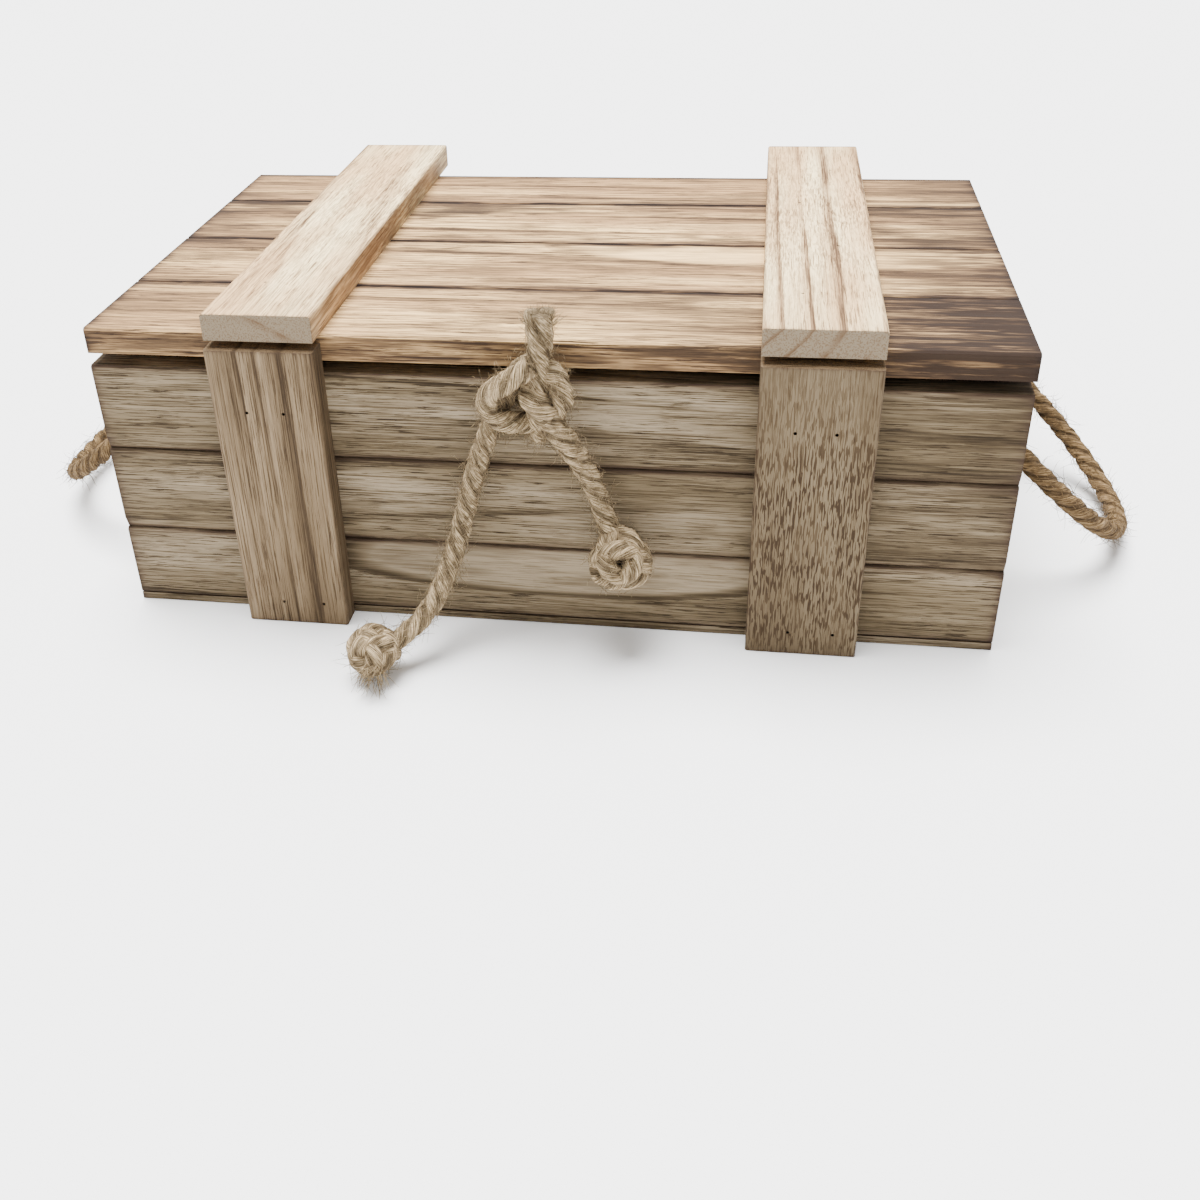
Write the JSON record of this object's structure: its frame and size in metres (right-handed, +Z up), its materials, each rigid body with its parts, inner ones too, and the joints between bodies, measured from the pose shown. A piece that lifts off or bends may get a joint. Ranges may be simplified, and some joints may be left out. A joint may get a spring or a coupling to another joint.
{
  "type": "wooden shipping crate",
  "caption": "Small nailed wooden crate with plank walls, upright battens, a hinged battened lid, swinging rope handles and a knotted rope closure at the front.",
  "frame": {"origin": "on the surface that the crate stands on, midway across its width and midway between the front battens' faces and the rear ends of the lid battens", "axes": "+X to the crate's right seen from the front, -Y out of the front that has the knotted cord, +Z up"},
  "size_m": [0.4781, 0.2827, 0.1365],
  "materials": {
    "wall_wood": "torched and brushed softwood, matt, with burnt edges",
    "lid_wood": "torched and brushed softwood, matt, pale with brown grain and a scorched end",
    "batten_wood": "torched and brushed softwood, matt, with strong brown grain lines",
    "panel_wood": "thin plain board, matt",
    "jute_rope": "rough hairy three-strand twist",
    "nail_steel": "dull dark steel",
    "hinge_brass": "plain dull brass"
  },
  "bodies": {
    "box": {"back_plank_lower": "wall_wood", "back_plank_middle": "wall_wood", "back_plank_upper": "wall_wood", "bottom_nails": "nail_steel", "bottom_panel": "panel_wood", "end_board_left": "wall_wood", "end_board_right": "wall_wood", "front_batten_left": "batten_wood", "front_batten_nails": "nail_steel", "front_batten_right": "batten_wood", "front_plank_lower": "wall_wood", "front_plank_middle": "wall_wood", "front_plank_upper": "wall_wood", "handle_knot_left_front": "jute_rope", "handle_knot_left_rear": "jute_rope", "handle_knot_right_front": "jute_rope", "handle_knot_right_rear": "jute_rope", "hinge_leaf_box_left": "hinge_brass", "hinge_leaf_box_right": "hinge_brass", "hinge_pin_left": "hinge_brass", "hinge_pin_right": "hinge_brass", "hinge_screws_box": "nail_steel", "rear_batten_left": "batten_wood", "rear_batten_nails": "nail_steel", "rear_batten_right": "batten_wood", "tail_knot_left": "jute_rope", "tail_knot_right": "jute_rope", "tie_cord_end": "jute_rope", "tie_knot": "jute_rope", "tie_stopper_knot": "jute_rope", "tie_tail_left": "jute_rope", "tie_tail_right": "jute_rope"},
    "lid": {"hinge_leaf_lid_left": "hinge_brass", "hinge_leaf_lid_right": "hinge_brass", "hinge_screws_lid": "nail_steel", "lid_batten_left": "batten_wood", "lid_batten_right": "batten_wood", "lid_loop": "jute_rope", "lid_nails": "nail_steel", "lid_plank_front": "lid_wood", "lid_plank_rear": "lid_wood", "lid_plank_second": "lid_wood", "lid_plank_third": "lid_wood", "loop_staple": "nail_steel"},
    "left_handle": {"handle_left": "jute_rope"},
    "right_handle": {"handle_right": "jute_rope"}
  },
  "joints": [
    {"name": "lid_hinge", "type": "hinge", "parent": "box", "child": "lid", "pos_m": [0, 0.0992, 0.107], "axis": [-1, 0, 0], "range_deg": [0, 99]},
    {"name": "left_handle_swing", "type": "hinge", "parent": "box", "child": "left_handle", "pos_m": [-0.1744, -0.004, 0.062], "axis": [0, 1, 0], "range_deg": [-6, 109]},
    {"name": "right_handle_swing", "type": "hinge", "parent": "box", "child": "right_handle", "pos_m": [0.1744, -0.004, 0.062], "axis": [0, -1, 0], "range_deg": [0, 115]}
  ]
}
